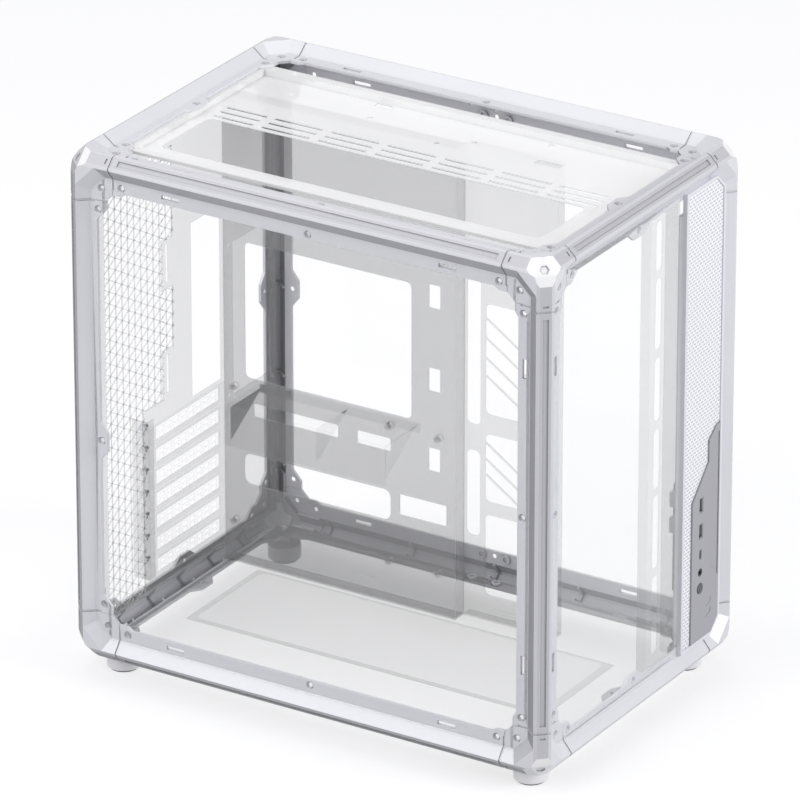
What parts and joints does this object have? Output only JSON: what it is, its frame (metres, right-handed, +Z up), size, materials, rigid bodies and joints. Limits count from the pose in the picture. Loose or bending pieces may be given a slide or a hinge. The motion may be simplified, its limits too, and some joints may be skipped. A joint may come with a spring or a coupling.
{
  "type": "computer case",
  "caption": "Upright computer case with an outside skeleton of cast corners and channel rails, clear panels, pierced sheet walls and a tray for the main board.",
  "frame": {"origin": "centre of the footprint on the floor", "axes": "+X to the front, +Y to the far side that holds the power supply, +Z up"},
  "size_m": [0.46, 0.312, 0.4735],
  "materials": {
    "cast_metal": "satin",
    "turned_metal": "satin",
    "pad_rubber": "matte",
    "clear_glass": "clear",
    "sheet_steel": "satin",
    "screw_steel": "satin",
    "fine_mesh": "matte",
    "grey_plate": "satin",
    "circuit_board": "matte",
    "socket_shell": "satin",
    "dark_plastic": "matte",
    "button_metal": "satin",
    "light_plastic": "gloss"
  },
  "bodies": {
    "chassis": {"corner_rear_near_bottom": "cast_metal", "corner_rear_near_top": "cast_metal", "corner_rear_far_bottom": "cast_metal", "corner_rear_far_top": "cast_metal", "corner_front_near_bottom": "cast_metal", "corner_front_near_top": "cast_metal", "corner_front_far_bottom": "cast_metal", "corner_front_far_top": "cast_metal", "rail_near_bottom": "cast_metal", "rail_near_top": "cast_metal", "rail_far_bottom": "cast_metal", "rail_far_top": "cast_metal", "rail_rear_bottom": "cast_metal", "rail_rear_top": "cast_metal", "rail_front_bottom": "cast_metal", "rail_front_top": "cast_metal", "upright_rear_near": "cast_metal", "upright_rear_far": "cast_metal", "upright_front_near": "cast_metal", "upright_front_far": "cast_metal", "feet": "turned_metal", "foot_pads": "pad_rubber", "near_glass": "clear_glass", "far_glass": "clear_glass", "front_glass": "clear_glass", "top_bracket": "sheet_steel", "bottom_panel": "sheet_steel", "dust_filter": "fine_mesh", "rear_panel": "sheet_steel", "rear_vent_mesh": "sheet_steel", "slot_ledge": "sheet_steel", "slot_cover_1": "sheet_steel", "slot_cover_2": "sheet_steel", "slot_cover_3": "sheet_steel", "slot_cover_4": "sheet_steel", "slot_cover_5": "sheet_steel", "slot_cover_6": "sheet_steel", "slot_cover_7": "sheet_steel", "slot_screws": "screw_steel", "board_tray": "sheet_steel", "standoffs": "screw_steel", "side_bracket": "sheet_steel", "power_supply_cradle": "sheet_steel", "fan_column": "sheet_steel", "front_vent_box": "sheet_steel", "front_vent_mesh": "fine_mesh", "port_plate": "grey_plate", "port_board": "circuit_board", "usb_a_port_upper": "socket_shell", "usb_a_port_lower": "socket_shell", "usb_c_port": "socket_shell", "audio_jack": "dark_plastic", "light_bars": "light_plastic"},
    "button": {"power_button": "button_metal"}
  },
  "joints": [
    {"name": "power_button_press", "type": "slide", "parent": "chassis", "child": "button", "axis": [-1, 0, 0], "range_m": [0, 0.0012], "stiffness_N_per_m": 1200, "springref_m": -0.0005}
  ]
}
